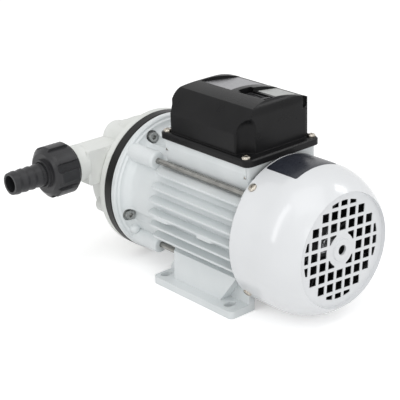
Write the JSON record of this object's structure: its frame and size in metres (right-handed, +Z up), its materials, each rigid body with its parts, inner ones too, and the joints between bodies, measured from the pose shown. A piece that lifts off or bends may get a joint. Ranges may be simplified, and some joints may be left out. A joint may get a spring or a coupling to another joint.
{
  "type": "diaphragm transfer pump",
  "caption": "Foot-mounted electric diaphragm pump: finned white motor, ribbed fan cover with square grille, black terminal box, wobble-plate pump head with hose tails on both sides.",
  "frame": {"origin": "centre of the four foot slots, on the underside of the feet", "axes": "+Z up out of the feet, +Y along the shaft towards the fan, +X across towards the outlet port"},
  "size_m": [0.284, 0.2686, 0.1697],
  "materials": {
    "white_paint": "satin white powder coat on die-cast aluminium",
    "cover_paint": "glossy white paint on pressed steel",
    "white_plastic": "slightly warm white moulded plastic",
    "black_plastic": "satin black moulded plastic",
    "box_plastic": "fine-grained black moulded plastic",
    "switch_plastic": "smooth black moulded plastic",
    "grey_plastic": "glass-filled grey plastic",
    "black_rubber": "matt black rubber",
    "cast_aluminium": "bare die-cast aluminium",
    "lamination_steel": "stacked electrical steel",
    "copper_wire": "varnished copper wire",
    "rod_steel": "drawn grey steel",
    "shaft_steel": "ground steel",
    "spring_steel": "spring steel",
    "bearing_steel": "polished bearing steel",
    "nickel_screw": "nickel-plated screw steel",
    "dark_screw": "dark socket-head screw steel",
    "capacitor_shell": "plain pale plastic shell"
  },
  "bodies": {
    "root": {"stator_housing": "white_paint", "stator_core": "lamination_steel", "stator_windings": "copper_wire", "front_flange": "white_paint", "rear_end_shield": "cast_aluminium", "tie_bolts": "rod_steel", "fan_cover": "cover_paint", "fan_cover_screws": "nickel_screw", "front_bearing_outer": "bearing_steel", "rear_bearing_outer": "bearing_steel", "wave_washer": "spring_steel", "diaphragm_ring": "black_plastic", "diaphragm": "black_rubber", "valve_plate": "grey_plastic", "inlet_valves": "black_rubber", "outlet_valves": "black_rubber", "head_gasket": "black_rubber", "pump_head": "white_plastic", "head_bolts": "dark_screw", "head_washers": "nickel_screw", "bypass_spring": "spring_steel", "bypass_cap": "black_plastic", "bypass_cap_seal": "black_rubber", "outlet_hose_tail": "black_plastic", "inlet_hose_tail": "black_plastic", "hose_tail_seals": "black_rubber", "terminal_box_cover": "box_plastic", "box_gasket": "black_rubber", "box_screws": "nickel_screw", "switch_housing": "switch_plastic", "capacitor": "capacitor_shell", "capacitor_clip": "spring_steel", "terminal_block": "grey_plastic", "earth_screw": "nickel_screw", "cable_gland": "box_plastic", "gland_nut": "box_plastic"},
    "rotor": {"motor_shaft": "shaft_steel", "rotor_core": "lamination_steel", "cooling_fan": "black_plastic", "fan_retaining_ring": "spring_steel", "front_bearing_inner": "bearing_steel", "rear_bearing_inner": "bearing_steel", "wobble_hub": "shaft_steel", "hub_set_screw": "dark_screw", "wobble_bearing_inner": "bearing_steel"},
    "wobble": {"wobble_bearing_outer": "bearing_steel", "wobble_plate": "grey_plastic", "piston_discs": "grey_plastic", "piston_screws": "nickel_screw"},
    "rocker": {"switch_rocker": "switch_plastic"},
    "bypass_valve": {"bypass_poppet": "grey_plastic"},
    "outlet_nut": {"outlet_union_nut": "black_plastic"},
    "inlet_nut": {"inlet_union_nut": "black_plastic"}
  },
  "joints": [
    {"name": "shaft_turn", "type": "hinge", "parent": "root", "child": "rotor", "pos_m": [0, 0, 0.063], "axis": [0, 1, 0], "continuous": true, "deforming": ["diaphragm"]},
    {"name": "plate_nutation", "type": "hinge", "parent": "rotor", "child": "wobble", "pos_m": [0, -0.1049, 0.063], "axis": [0, 0.9962, 0.0872], "continuous": true},
    {"name": "switch_tip", "type": "hinge", "parent": "root", "child": "rocker", "pos_m": [0, 0.021, 0.1619], "axis": [-1, 0, 0], "range_deg": [0, 14]},
    {"name": "bypass_lift", "type": "slide", "parent": "root", "child": "bypass_valve", "axis": [0, -1, 0], "range_m": [0, 0.004], "stiffness_N_per_m": 900, "springref_m": -0.003, "deforming": ["bypass_spring"]},
    {"name": "outlet_nut_turn", "type": "hinge", "parent": "root", "child": "outlet_nut", "pos_m": [0.095, -0.128, 0.0907], "axis": [1, 0, 0], "continuous": true},
    {"name": "inlet_nut_turn", "type": "hinge", "parent": "root", "child": "inlet_nut", "pos_m": [-0.095, -0.128, 0.0907], "axis": [1, 0, 0], "continuous": true}
  ],
  "couplings": [
    {"joint": "plate_nutation", "follows": "shaft_turn", "ratio": -1}
  ]
}
